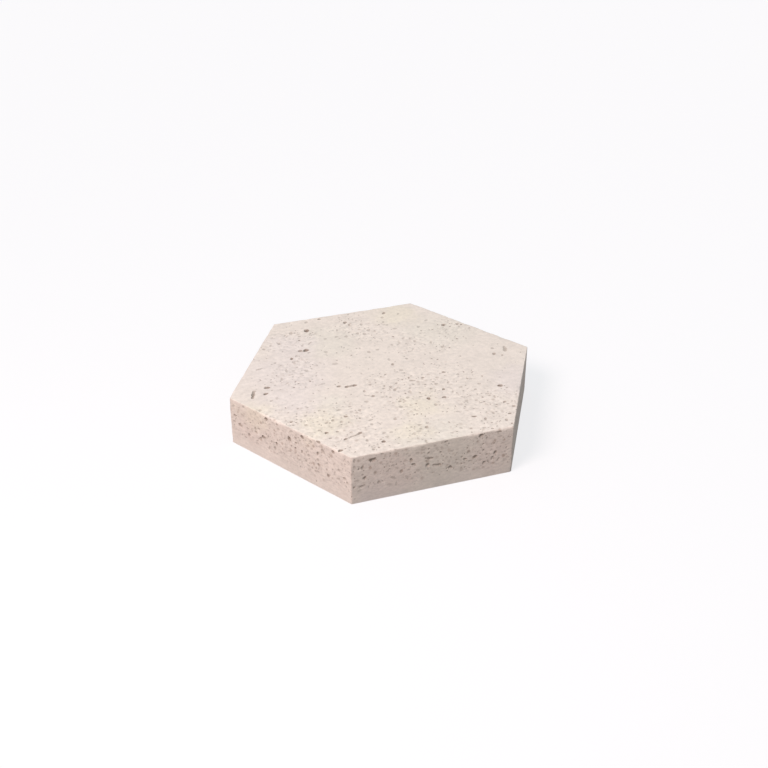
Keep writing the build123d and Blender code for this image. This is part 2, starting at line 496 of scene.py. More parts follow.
def busy_at(point):
    """How busy the surface is at a point of the slab, from 0 to 1."""
    busiest = 0.0
    scaled = Vector(point) / SPOT_BEND_LENGTH
    bend = [noise.noise(scaled + Vector((shift, 0, 0))) for shift in BEND_SHIFTS]
    bent = Vector(point) + SPOT_BEND * Vector(bend)
    for middle, radius in BUSY_SPOTS:
        near = (1 - (bent - Vector(middle)).length / radius) / (1 - SPOT_CORE)
        near = min(1.0, max(0.0, near))
        busiest = max(busiest, near * near * (3 - 2 * near))
    return busiest


def void_share(face, spot):
    """How likely a void is at a spot, from 0 to 1: voids come in loose swarms."""
    x, y, z = face.solid(spot)
    swarm = 0.5 + 0.5 * noise.noise(Vector((x, y, z + SWARM_RISE)) * SWARM_SCALE)
    share = SWARM_LEAST + (1 - SWARM_LEAST) * swarm
    if face.name == "walking":
        share *= CALM_LEAST + (1 - CALM_LEAST) * busy_at((x, y, z))
    elif face.name == "joint":
        band = PLAIN_BAND + BAND_WAVE * noise.noise(Vector((x, y, 0)) * BAND_WAVE_SCALE)
        share *= min(1.0, max(BAND_LEAST, (z - band) / BAND_FADE))
    return share


def strew_voids(face, chips, rng, count, largest):
    """Adds random voids between those that are there, small ones far more often than large ones."""
    low = face.outline.min(0)
    high = face.outline.max(0)
    crowd = Crowd(LARGEST_VOID)
    for hollow in face.hollows:
        crowd.add((hollow.along, hollow.up), hollow.length / 2)
    for side in face.sides:
        for chip in chips:
            if chip.edge == side.edge:
                crowd.add(side.spot(chip.at), chip.length / 2 + STREWN_MARGIN)
    cut = 1 - (SMALLEST_VOID / largest) ** VOID_POWER
    while count:
        length = SMALLEST_VOID * (1 - rng.random() * cut) ** (-1 / VOID_POWER)
        spot = np.array([rng.uniform(low[0], high[0]), rng.uniform(low[1], high[1])])
        chance = rng.random()
        stretch = 1 + STREWN_STRETCH * rng.random() ** STRETCH_POWER
        turn = rng.uniform(0, 180)
        dark = rng.uniform(*STREWN_DARK) + LENGTH_DARK * length
        tone = min(1.0, STREWN_TONE.get(face.name, 1.0) * dark)
        if face.inset(spot) < length / 2 + ARRIS_RADIUS + STREWN_MARGIN or chance > void_share(face, spot):
            continue
        if not crowd.clear(spot, length / 2 + STREWN_GAP):
            continue
        face.hollows += make_void(rng, *spot, length, length / stretch, turn, tone)
        crowd.add(spot, length / 2)
        count -= 1


def place_voids(faces, chips, rng):
    seen = {"walking": WALKING_FACE_VOIDS, 210: JOINT_FACE_210_VOIDS, 270: JOINT_FACE_270_VOIDS}
    counts = {"walking": WALKING_VOIDS, "bed": BED_VOIDS}
    for key, face in faces.items():
        for *shape, tone in seen.get(key, ()):
            scale, power = SEEN_TONE[key]
            face.hollows += make_void(rng, *shape, scale * tone**power)
        largest = LARGEST_BETWEEN_SEEN if key in seen else LARGEST_VOID
        strew_voids(face, chips, rng, counts.get(key, JOINT_VOIDS), largest)


def rim_chip(faces, degrees, along, length, reach, shade):
    """A chip in the walking face's rim, by its place on the joint face under it."""
    rim = faces[degrees].sides[TOP_SIDE]
    way = SIDE / 2 - along
    return Chip(rim.edge, way if rim.forward else rim.length - way, length, reach, shade)


def place_chips(faces, rng):
    """The chips that show in the photo, and a few small random ones on each eased edge."""
    chips = [rim_chip(faces, *row, SEEN_CHIP_SHADE) for row in RIM_CHIPS]
    for edge in EASED:
        run = np.linalg.norm(corner(edge[1]) - corner(edge[0]))
        for _ in range(CHIPS_ON_RIM if edge in RIM else CHIPS_ON_UPRIGHT):
            length = rng.uniform(*CHIP_LENGTH)
            at = rng.uniform(*CHIP_PLACE) * run
            reach = length * rng.uniform(*CHIP_REACH)
            if all(c.edge != edge or abs(c.at - at) > (c.length + length) / 2 + CHIP_GAP for c in chips):
                chips.append(Chip(edge, at, length, reach, CHIP_SHADE))
    return chips


def place_wear(faces, rng):
    """Long shallow stretches along the eased edges, where the arris is blunt."""
    wear = [rim_chip(faces, *row, 0.0) for row in RIM_WEAR]
    for edge in EASED:
        run = np.linalg.norm(corner(edge[1]) - corner(edge[0]))
        for _ in range(WORN_ON_RIM if edge in RIM else WORN_ON_UPRIGHT):
            length = rng.uniform(*WORN_LENGTH)
            wear.append(Chip(edge, rng.uniform(0, 1) * run, length, rng.uniform(*WORN_REACH), 0.0))
    return wear


def edge_stops(edge, chips):
    """Where the mesh has points along an edge, from its first corner: closer together along a chip."""
    run = np.linalg.norm(corner(edge[1]) - corner(edge[0]))
    kept = [0.0, run]
    wanted = []
    for chip in chips:
        if chip.edge == edge:
            span = CHIP_SPAN * chip.length
            wanted += list(chip.at + np.arange(-span, span, CHIP_STEP))
    wanted += list(np.linspace(0, run, round(run / EDGE_STEP) + 1)[1:-1])
    for stop in wanted:
        if min(abs(stop - other) for other in kept) > LEAST_STEP and 0 < stop < run:
            kept.append(stop)
    return np.sort(kept)


def hollow_spots(hollow):
    """Spots on a face that carry a hollow's shape: its rim, rings inside it and one round it."""
    small = hollow.length < SMALL_VOID
    step = SMALL_RING_STEP if small else RING_STEP
    middle = np.array([hollow.along, hollow.up])
    half = np.array([hollow.length / 2, hollow.width / 2])
    for share in SMALL_RINGS if small else RINGS:
        count = max(LEAST_ON_RIM if share >= 1 else LEAST_INSIDE, round(math.pi * half.sum() * share / step))
        angle = (np.arange(count) + (0 if share == 1 else 0.5)) / count * 2 * math.pi
        ring = share * hollow.rim(angle)[:, None] * np.stack([np.cos(angle), np.sin(angle)], 1) * half
        yield from middle + ring @ hollow.axes()
    yield middle


def chip_spots(side, chip):
    """Half rings of spots on a face next to a chip in one of its sides."""
    for share in CHIP_RINGS:
        count = max(LEAST_INSIDE, round(math.pi / 2 * (chip.length / 2 + chip.reach) * share / CHIP_STEP))
        for angle in np.arange(1, count) / count * math.pi:
            at = chip.at + math.cos(angle) * share * chip.length / 2
            yield side.spot(at, math.sin(angle) * share * chip.reach)


def arris_spots(face, stops):
    """Rows of spots along a face's eased edges."""
    for side in face.sides:
        if side.edge in EASED:
            for depth in ARRIS_ROWS:
                for at in stops[side.edge][1:-1]:
                    spot = side.spot(at, depth)
                    if face.inset(spot) > depth - HAIR:
                        yield spot


def fill_spots(face, rng):
    """A loose triangular grid over a whole face."""
    low = face.outline.min(0)
    high = face.outline.max(0)
    for row in range(int((high[1] - low[1]) / (FILL_STEP * FILL_RISE)) + 1):
        for column in range(int((high[0] - low[0]) / FILL_STEP) + 1):
            grid = np.array([column + 0.5 * (row % 2), FILL_RISE * (row + 0.5)])
            shake = [rng.uniform(-FILL_SHAKE, FILL_SHAKE) for _ in range(2)]
            spot = low + FILL_STEP * grid + np.array(shake)
            if face.inset(spot) > FILL_MARGIN:
                yield spot


def inner_spots(face, outline, chips, stops, rng):
    """All mesh points inside a face's outline. Where two are too close, the finer shape's comes first."""
    crowd = Crowd(CHIP_STEP)
    for spot in outline:
        crowd.add(spot)
    found = []

    def take(spots, gap):
        for spot in spots:
            if face.inset(spot) > EDGE_GAP and crowd.clear(spot, gap):
                crowd.add(spot)
                found.append(spot)

    take(arris_spots(face, stops), FINE_GAP)
    for side in face.sides:
        for chip in chips:
            if chip.edge == side.edge:
                take(chip_spots(side, chip), FINE_GAP)
    for hollow in face.hollows:
        take(hollow_spots(hollow), FINE_GAP)
    take(fill_spots(face, rng), FILL_GAP)
    return found


def triangulate(spots, outline_count):
    """Triangles between a face's spots, of which the first ones are its outline.

    The outline is bent outward by a hair here, so that no triangle lies between points of one straight side.
    """
    loop = [(i, (i + 1) % outline_count) for i in range(outline_count)]
    flat = np.array(spots, float)
    ring = flat[:outline_count] - (flat.min(0) + flat.max(0)) / 2
    away = (ring**2).sum(1)
    flat[:outline_count] += ring * (OUTLINE_BEND * (1 - away / away.max()))[:, None]
    coords = [Vector(spot) for spot in flat]
    made, _, triangles, origins, _, _ = delaunay_2d_cdt(coords, loop, [], 1, TINY, True)
    assert len(made) == len(coords)
    return [[origins[i][0] for i in triangle] for triangle in triangles]


def nearest_in_hexagon(plan, half_flats):
    """The nearest points of a hexagon with this half width across flats."""
    side = 2 * half_flats / math.sqrt(3)
    ring = np.radians(TURN * np.arange(SIDE_COUNT + 1))
    corners = side * np.stack([np.cos(ring), np.sin(ring)], 1)
    best = plan.copy()
    outside = np.zeros(len(plan), bool)
    away = np.full(len(plan), np.inf)
    for start, end in zip(corners, corners[1:]):
        run = end - start
        share = np.clip((plan - start) @ run / (run @ run), 0, 1)
        foot = start + share[:, None] * run
        gap = np.linalg.norm(plan - foot, axis=1)
        outside |= (plan - start) @ np.array([run[1], -run[0]]) > 0
        best = np.where((gap < away)[:, None], foot, best)
        away = np.minimum(gap, away)
    return np.where(outside[:, None], best, plan)


def ease_arrises(points):
    """Rounds the upright corners and the walking face's rim of the sharp prism."""
    core = nearest_in_hexagon(points[:, :2], HALF_FLATS - ARRIS_RADIUS)
    out = points[:, :2] - core
    reach = np.linalg.norm(out, axis=1)
    out *= np.minimum(1, ARRIS_RADIUS / np.maximum(reach, NO_LENGTH))[:, None]
    rise = np.maximum(0, points[:, 2] - (THICKNESS - ARRIS_RADIUS))
    span = np.sqrt((out**2).sum(1) + rise**2)
    on_rim = (rise > 0) & (reach > NO_LENGTH)
    scale = np.where(on_rim, ARRIS_RADIUS / np.maximum(span, NO_LENGTH), 1)
    eased = points.copy()
    eased[:, :2] = core + out * scale[:, None]
    eased[:, 2] = points[:, 2] - rise + rise * scale
    return eased


def arris_distance(points):
    """How far points of the sharp prism are from the nearest eased edge."""
    best = np.full(len(points), np.inf)
    for edge in EASED:
        start, end = corner(edge[0]), corner(edge[1])
        run = end - start
        share = np.clip((points - start) @ run / (run @ run), 0, 1)
        best = np.minimum(best, np.linalg.norm(points - start - share[:, None] * run, axis=1))
    return best


def inward_steps(normals):
    """The way each point goes when all its faces move in by 1, from the sum of their normals."""
    steps = -normals
    upright = np.linalg.norm(normals[:, :2], axis=1) > TWO_JOINT_FACES
    steps[upright, :2] /= 1 + math.cos(2 * math.pi / SIDE_COUNT)
    return steps


def roughen(points, inward, arris):
    """A gentle unevenness of the faces and some wear along the arrises, both inward."""
    for i, place in enumerate(points):
        wave = 0.5 + 0.5 * noise.noise(Vector(place) / WAVE_LENGTH)
        wear = max(0.0, noise.noise(Vector(place) / WEAR_LENGTH + Vector(WEAR_SHIFT)) + WEAR_SHARE)
        points[i] = place + inward[i] * (WAVE_HEIGHT * wave + WEAR_HEIGHT * arris[i] * wear)
    points[:, 2] = np.maximum(points[:, 2], 0)


def sink_hollows(face, spots):
    """How deep a face's voids make its spots, and how far and how dark their dirt and painted shade covers
    them.
    """
    depth = np.zeros(len(spots))
    cover = np.zeros(len(spots))
    tone = np.zeros(len(spots))
    for hollow in face.hollows:
        middle = np.array([hollow.along, hollow.up])
        room = max(LEAST_ROOM, face.inset(middle) ** 2 - hollow.width**2 / 4)
        deepest = min(hollow.depth, NEAR_EDGE_DEPTH * math.sqrt(room))
        close = np.where(np.abs(spots - middle).max(1) < hollow.length)[0]
        reach = hollow.reach(spots[close])
        near = np.clip((COVER_FROM - reach) / (COVER_FROM - COVER_FULL), 0, 1)
        depth[close] = np.maximum(depth[close], deepest * np.maximum(0, 1 - reach**2) ** hollow.blunt)
        darker = (reach < COVER_FROM + HAIR) & (near * hollow.tone >= cover[close] * tone[close])
        cover[close[darker]] = near[darker]
        tone[close[darker]] = hollow.tone
    return depth, cover, tone


def carve_chip(points, faces, chip, cover, tone):
    """Breaks a chip out of an arris: what stands out over its rough floor is moved straight in on to it."""
    start, end = corner(chip.edge[0]), corner(chip.edge[1])
    run = (end - start) / np.linalg.norm(end - start)
    normals = [face.normal for face in faces.values() if any(s.edge == chip.edge for s in face.sides)]
    outward = sum(normals) / np.linalg.norm(sum(normals))
    middle = start + run * chip.at
    across = np.cross(run, outward)
    for i in np.where(np.abs(points - middle).max(1) < chip.length)[0]:
        away = points[i] - middle
        coarse, fine = (noise.noise(Vector(points[i]) * scale) for scale in LUMP_SCALES)
        lump = coarse + 0.5 * fine
        bowl = 1 - (2 * away @ run / chip.length) ** 2 - CHIP_SIDE_FALL * (away @ across / chip.reach) ** 2
        over = away @ outward + chip.reach * (CHIP_DEPTH * bowl + CHIP_LUMPS * lump)
        if bowl > 0 and over > 0:
            points[i] -= outward * over
            # paints shade into the chip's recess
            cover[i] = max(cover[i], min(1.0, CHIP_COVER * over / chip.reach) if chip.shade else 0)
            tone[i] = max(tone[i], chip.shade)


# Where each face lies in the flat layout for the stone's maps (mm): its middle and its scale
LAYOUT_SIZE = 572.0
LAYOUT = {"walking": (189.5, 164.5, 1.0), "bed": (140.0, 452.0, 0.7)}
LAYOUT |= {TURN // 2 + TURN * k: (476.0, 33.0 + 65.0 * k, 1.0) for k in range(SIDE_COUNT)}


def layout_spot(key, face, spot):
    """A spot of a face in the flat layout, from 0 to 1."""
    middle = (face.outline.min(0) + face.outline.max(0)) / 2
    x, y, scale = LAYOUT[key]
    return (np.array([x, y]) + (np.asarray(spot) - middle) * scale) / LAYOUT_SIZE


class SharpPrism:
    """The slab's mesh before it is shaped: all faces flat, sharing the points of their edges."""

    def __init__(self, faces, chips, rng):
        self.points = []
        self.normals = []
        self.voids = []  # depth, cover and tone
        self.triangles = []
        self.layout = []
        edges = [side.edge for face in faces.values() for side in face.sides]
        self.stops = {edge: edge_stops(edge, chips) for edge in edges}
        self.corners = {}
        self.edges = {}
        for edge in self.stops:
            self.add_edge(edge)
        for key, face in faces.items():
            self.add_face(key, face, chips, rng)

    def add_point(self, point, void=(0, 0, 0)):
        self.points.append(point)
        self.normals.append(np.zeros(3))
        self.voids.append(void)
        return len(self.points) - 1

    def add_edge(self, edge):
        start, end = corner(edge[0]), corner(edge[1])
        stops = self.stops[edge]
        for key in edge:
            if key not in self.corners:
                self.corners[key] = self.add_point(corner(key))
        inner = [self.add_point(start + (end - start) * stop / stops[-1]) for stop in stops[1:-1]]
        self.edges[edge] = [self.corners[edge[0]], *inner, self.corners[edge[1]]]

    def add_face(self, key, face, chips, rng):
        spots = []
        numbers = []
        for side in face.sides:
            order = slice(None, -1) if side.forward else slice(None, 0, -1)
            spots += [side.spot(at) for at in self.stops[side.edge][order]]
            numbers += self.edges[side.edge][order]
        outline_count = len(spots)
        inner = inner_spots(face, spots, chips, self.stops, rng)
        spots += inner
        for spot, *void in zip(inner, *sink_hollows(face, np.array(inner))):
            numbers.append(self.add_point(face.solid(spot), void))
        for number in numbers:
            self.normals[number] = self.normals[number] + face.normal
        flat = [layout_spot(key, face, spot) for spot in spots]
        for triangle in triangulate(spots, outline_count):
            self.triangles.append([numbers[i] for i in triangle])
            self.layout += [flat[i] for i in triangle]


def build_slab():
    """The cast stone as one closed mesh."""
    rng = random.Random(SEED)
    faces = make_faces()
    chips = place_chips(faces, rng)
    place_voids(faces, chips, rng)
    prism = SharpPrism(faces, chips, rng)
    sharp = np.array(prism.points)
    inward = inward_steps(np.array(prism.normals))
    points = ease_arrises(sharp)
    arris = np.maximum(0, 1 - arris_distance(sharp) / WEAR_REACH)
    roughen(points, inward, arris)
    depth, cover, tone = np.array(prism.voids, float).T
    points += inward * depth[:, None]
    for chip in chips + place_wear(faces, rng):
        carve_chip(points, faces, chip, cover, tone)
    # void_cover and void_tone carry the dirt and painted shade of the voids and chips
    marks = {"void_cover": cover, "void_tone": tone, "arris": arris}
    return make_object("cast_stone_slab", points * MM, prism.triangles, prism.layout, marks)


def make_object(name, points, triangles, layout, marks):
    mesh = bpy.data.meshes.new(name)
    mesh.from_pydata([tuple(point) for point in points], [], triangles)
    mesh.uv_layers.new(name="OFBake").data.foreach_set("uv", np.array(layout, np.float32).ravel())
    for mark, values in marks.items():
        mesh.attributes.new(mark, "FLOAT", "POINT").data.foreach_set("value", values.astype(np.float32))
    mesh.polygons.foreach_set("use_smooth", [True] * len(mesh.polygons))
    mesh.set_sharp_from_angle(angle=math.radians(SHARP_ANGLE))
    mesh.update()
    made = bpy.data.objects.new(name, mesh)
    bpy.context.scene.collection.objects.link(made)
    return made


# The stone's finish. Colours are linear.
STONE = (0.830, 0.733, 0.668)
LAVENDER = (0.812, 0.718, 0.680)
CREAM = (0.843, 0.753, 0.644)
OLIVE = (0.805, 0.729, 0.654)
ROSE = (0.843, 0.726, 0.664)
PALE = (0.868, 0.770, 0.704)
LIGHT_GRAIN = (0.93, 0.84, 0.775)
# the colour of dark grains and smudges, and of the painted shade along the arrises
DARK_GRAIN_AND_ARRIS_SHADE = (0.50, 0.39, 0.325)
# dirt and painted shade in the voids, chips and pinholes, darker than their own shading makes them
VOID_DIRT_AND_SHADE = (0.27, 0.212, 0.173)
PATCH_STRENGTH = 0.85
LOW_BAND = 1.045  # how much paler the lowest part of the joint faces is
LOW_BAND_END = (5, 14)  # the heights (mm) between which it ends
SPECKS_START = (9, 19)  # between which the joint faces' specks set in
RIM_HEIGHTS = (57, 59.5)  # between which the joint faces give way to the walking face
LOW_SPECKS = 0.3  # how strong specks are on the lowest part, against the walking face,
JOINT_SPECKS = 1.65  # and over it
JOINT_CALM = 0.45  # how strong they are away from the busy spots
WALKING_CALM = 0.22
# Noise: how many times a metre it changes, its detail, and where it is read
SWIRL = (28, 3, (0, 0, 0))
CLOUDS = (55, 4, (3, 1, 2))
MOTTLE = (190, 3, (8, 1, 6))
# the painted shade along the arrises comes and goes with this noise
ARRIS_SHADE_NOISE = (240, 3, (9, 3, 7))
RAGGED = (900, 2, (1, 5, 2))
FINE_GRAIN = (900, 4, (4, 4, 1))
SAND_SCALE = 1050
# The values between which a layer goes from one end to the other
NOISE_RANGE = (0.3, 0.7)
ARRIS_SHADE_RANGE = (0.35, 0.65)
BUSY_RANGE = (0.2, 1.0)
ARRIS_RANGE = (0.2, 0.8)
COVER_RANGE = (0.15, 0.8)
LEAST_ARRIS_SHADE = 0.3
FAINTEST_SPECK = 0.35
SWIRL_REACH = 0.05  # how far it moves the patches' borders (m)
RAGGED_REACH = 0.002  # the same for specks
CLOUD_SHADES = (0.955, 1.04)
MOTTLE_SHADE = 0.11
MOTTLE_STRENGTHS = (0.55, 1.1)  # from calm to busy places
LAYER_FLATNESS = (1.0, 1.0, 2.2)  # mottles are wider than high
SAND_SHADES = (0.97, 1.03)
SAND_ROUGHNESS = (0.95, 0.82)
DARK_SAND = (0.965, 0.975)  # the random values between which a sand grain turns dark
# Specks: their spacing (mm), how many places have one, smallest and largest radius, and soft rim (mm)
LIGHT_SPECKS = (4.0, 0.6, 0.7, 1.8, 0.9)
SMUDGES = (6.0, 0.6, 1.1, 3.0, 1.9)
DARK_SPECKS = (3.3, 0.5, 0.5, 1.4, 0.8)
PINHOLES = (2.4, 0.4, 0.24, 0.52, 0.14)
# How strongly each layer covers the stone, and how high or deep it is in the bump
LIGHT_COVER = 0.76
SMUDGE_COVER = 0.62
DARK_COVER = 0.50
DARK_SAND_COVER = 0.16
PINHOLE_COVER = 0.2
# how strong the painted shade along the arrises is
ARRIS_SHADE_COVER = 0.3
VOID_COVER = 0.9
FINE_HEIGHT = 0.55
LIGHT_HEIGHT = 0.2
DARK_DEPTH = 0.3
PINHOLE_DEPTH = 0.5
SAND_DEPTH = 0.25
BUMP_STRENGTH = 0.32
BUMP_HEIGHT = 0.0004
SPECULAR = 0.3
# Soft patches of colour: middle and radius (mm)
PATCHES = [
    (OLIVE, (-45, 95, 60), 60), (OLIVE, (-80, -55, 60), 35), (OLIVE, (100, 75, 60), 65),
    (OLIVE, (0, -162, 52), 70), (LAVENDER, (-115, 30, 60), 75), (LAVENDER, (-90, 95, 60), 45),
    (LAVENDER, (-125, -30, 60), 45), (LAVENDER, (140, -70, 60), 45), (LAVENDER, (-60, -162, 4), 32),
    (CREAM, (-100, -88, 60), 38), (CREAM, (15, -88, 60), 38), (CREAM, (-15, -128, 60), 30),
    (CREAM, (62, 138, 60), 42), (CREAM, (-168, -34, 52), 32), (ROSE, (-45, -162, 27), 42),
    (ROSE, (65, -162, 28), 36), (ROSE, (-170, -30, 12), 40), (PALE, (-175, -22, 0), 28),
    (PALE, (-160, -48, 0), 30),
]


class Nodes:
    """A material's or world's nodes, made and linked in short steps."""

    def __init__(self, owner):
        owner.use_nodes = True
        self.tree = owner.node_tree
        self.tree.nodes.clear()

    def add(self, kind, **settings):
        node = self.tree.nodes.new(kind)
        for name, value in settings.items():
            setattr(node, name, value)
        return node

    def feed(self, socket, value):
        """Links an output to a socket, or sets a constant on it."""
        if isinstance(value, bpy.types.NodeSocket):
            self.tree.links.new(value, socket)
        elif isinstance(value, tuple) and len(socket.default_value) == 4:
            socket.default_value = (*value, 1.0)
        else:
            socket.default_value = value

    def math(self, operation, a, b):
        node = self.add("ShaderNodeMath", operation=operation)
        self.feed(node.inputs[0], a)
        self.feed(node.inputs[1], b)
        return node.outputs[0]

    def times(self, a, b):
        return self.math("MULTIPLY", a, b)

    def vector(self, operation, a, b, output="Vector"):
        node = self.add("ShaderNodeVectorMath", operation=operation)
        self.feed(node.inputs[0], a)
        self.feed(node.inputs[1], b)
        return node.outputs[output]

    def noise(self, where, scale, detail, shift, output="Fac"):
        node = self.add("ShaderNodeTexNoise")
        self.feed(node.inputs["Vector"], self.vector("ADD", where, shift))
        self.feed(node.inputs["Scale"], scale)
        self.feed(node.inputs["Detail"], detail)
        return node.outputs[output]

    def spread(self, value, low, high, to_low, to_high, kind="LINEAR"):
        node = self.add("ShaderNodeMapRange", interpolation_type=kind)
        for name, number in zip(("Value", "From Min", "From Max", "To Min", "To Max"),
                                (value, low, high, to_low, to_high)):
            self.feed(node.inputs[name], number)
        return node.outputs["Result"]

    def by_height(self, where, heights, low, high, kind="LINEAR"):
        """A value that goes from low to high between two heights (mm)."""
        split = self.add("ShaderNodeSeparateXYZ")
        self.feed(split.inputs[0], where)
        return self.spread(split.outputs["Z"], MM * heights[0], MM * heights[1], low, high, kind)

    def moved(self, where, kind, reach):
        """The same places, moved about by noise."""
        sway = self.vector("SUBTRACT", self.noise(where, *kind, "Color"), (0.5, 0.5, 0.5))
        return self.vector("ADD", where, self.vector("MULTIPLY", sway, (reach, reach, reach)))

    def mix(self, share, a, b, blend="MIX"):
        node = self.add("ShaderNodeMix", data_type="RGBA", blend_type=blend)
        for socket, value in zip((node.inputs[0], node.inputs[6], node.inputs[7]), (share, a, b)):
            self.feed(socket, value)
        return node.outputs[2]

    def grey(self, value):
        node = self.add("ShaderNodeCombineColor")
        for socket in node.inputs:
            self.feed(socket, value)
        return node.outputs[0]

    def soft_spot(self, where, middle, radius):
        """1 near a middle (mm), and 0 from the radius on."""
        point = tuple(MM * c for c in middle)
        away = self.vector("DISTANCE", where, point, "Value")
        return self.spread(away, MM * SPOT_CORE * radius, MM * radius, 1, 0, "SMOOTHSTEP")


def stone_colour(nodes, where, bent, busy):
    """The stone's slow changes of colour: placed patches with uneven edges, and clouds."""
    colour = STONE
    for tint, middle, radius in PATCHES:
        share = nodes.times(nodes.soft_spot(bent, middle, radius), PATCH_STRENGTH)
        colour = nodes.mix(share, colour, tint)
    cloud = nodes.spread(nodes.noise(where, *CLOUDS), *NOISE_RANGE, *CLOUD_SHADES)
    layers = nodes.vector("MULTIPLY", where, LAYER_FLATNESS)
    mottle = nodes.spread(nodes.noise(layers, *MOTTLE), *NOISE_RANGE, -MOTTLE_SHADE, MOTTLE_SHADE)
    mottle = nodes.times(mottle, nodes.spread(busy, *BUSY_RANGE, *MOTTLE_STRENGTHS))
    band = nodes.by_height(bent, LOW_BAND_END, LOW_BAND, 1.0, "SMOOTHSTEP")
    shade = nodes.times(nodes.times(cloud, band), nodes.math("ADD", mottle, 1.0))
    return nodes.mix(1.0, colour, nodes.grey(shade), "MULTIPLY")


def busy_share(nodes, where, bent):
    """How speckled the surface is: most on the joint faces, but for their lowest part."""
    share = nodes.by_height(where, RIM_HEIGHTS, JOINT_CALM, WALKING_CALM)
    for middle, radius in BUSY_SPOTS:
        share = nodes.math("MAXIMUM", share, nodes.soft_spot(bent, middle, radius))
    rising = nodes.by_height(where, SPECKS_START, LOW_SPECKS, JOINT_SPECKS)
    falling = nodes.by_height(where, RIM_HEIGHTS, JOINT_SPECKS, 1)
    return nodes.times(share, nodes.math("MINIMUM", rising, falling))


def specks(nodes, where, spacing, share, smallest, largest, soft):
    """Round specks as a mask, some of them faint."""
    cells = nodes.add("ShaderNodeTexVoronoi")
    nodes.feed(cells.inputs["Vector"], nodes.vector("ADD", where, (spacing, 0.3, 0.7)))
    nodes.feed(cells.inputs["Scale"], 1 / (MM * spacing))
    split = nodes.add("ShaderNodeSeparateColor")
    nodes.feed(split.inputs[0], cells.outputs["Color"])
    chosen = nodes.spread(split.outputs[0], 1 - share, 1, FAINTEST_SPECK, 1)
    chosen = nodes.times(chosen, nodes.math("GREATER_THAN", split.outputs[0], 1 - share))
    radius = nodes.spread(split.outputs[1], 0, 1, smallest / spacing, largest / spacing)
    inside = nodes.spread(nodes.math("SUBTRACT", radius, cells.outputs["Distance"]), 0, soft / spacing, 0, 1)
    return nodes.times(inside, chosen)


def sand(nodes, where):
    """Sand grains: a random value for each, and how far its middle is."""
    cells = nodes.add("ShaderNodeTexVoronoi")
    nodes.feed(cells.inputs["Vector"], where)
    nodes.feed(cells.inputs["Scale"], SAND_SCALE)
    split = nodes.add("ShaderNodeSeparateColor")
    nodes.feed(split.inputs[0], cells.outputs["Color"])
    return split.outputs[0], cells.outputs["Distance"]


def mark(nodes, name):
    """A value that the mesh carries at its points."""
    return nodes.add("ShaderNodeAttribute", attribute_name=name).outputs["Fac"]


def painted_arris_shade(nodes, where):
    """Painted shade along the arrises, in patches, which dims the light line that their easing catches."""
    shade_patches = nodes.spread(nodes.noise(where, *ARRIS_SHADE_NOISE), *ARRIS_SHADE_RANGE, 1, LEAST_ARRIS_SHADE)
    return nodes.times(nodes.spread(mark(nodes, "arris"), *ARRIS_RANGE, 0, 1, "SMOOTHSTEP"), shade_patches)


# Dirt and painted shade in the voids and chips
def void_dirt_and_shade(nodes):
    cover = nodes.spread(mark(nodes, "void_cover"), *COVER_RANGE, 0, 1, "SMOOTHSTEP")
    return nodes.times(cover, mark(nodes, "void_tone"))


def stone_bump(nodes, where, light, dark, holes, grain_edge):
    fine = nodes.times(nodes.noise(where, *FINE_GRAIN), FINE_HEIGHT)
    rough = nodes.math("SUBTRACT", nodes.times(light, LIGHT_HEIGHT), nodes.times(dark, DARK_DEPTH))
    height = nodes.math("SUBTRACT", nodes.math("ADD", fine, rough), nodes.times(holes, PINHOLE_DEPTH))
    height = nodes.math("SUBTRACT", height, nodes.times(grain_edge, SAND_DEPTH))
    bump = nodes.add("ShaderNodeBump")
    nodes.feed(bump.inputs["Strength"], BUMP_STRENGTH)
    nodes.feed(bump.inputs["Distance"], BUMP_HEIGHT)
    nodes.feed(bump.inputs["Height"], height)
    return bump.outputs[0]


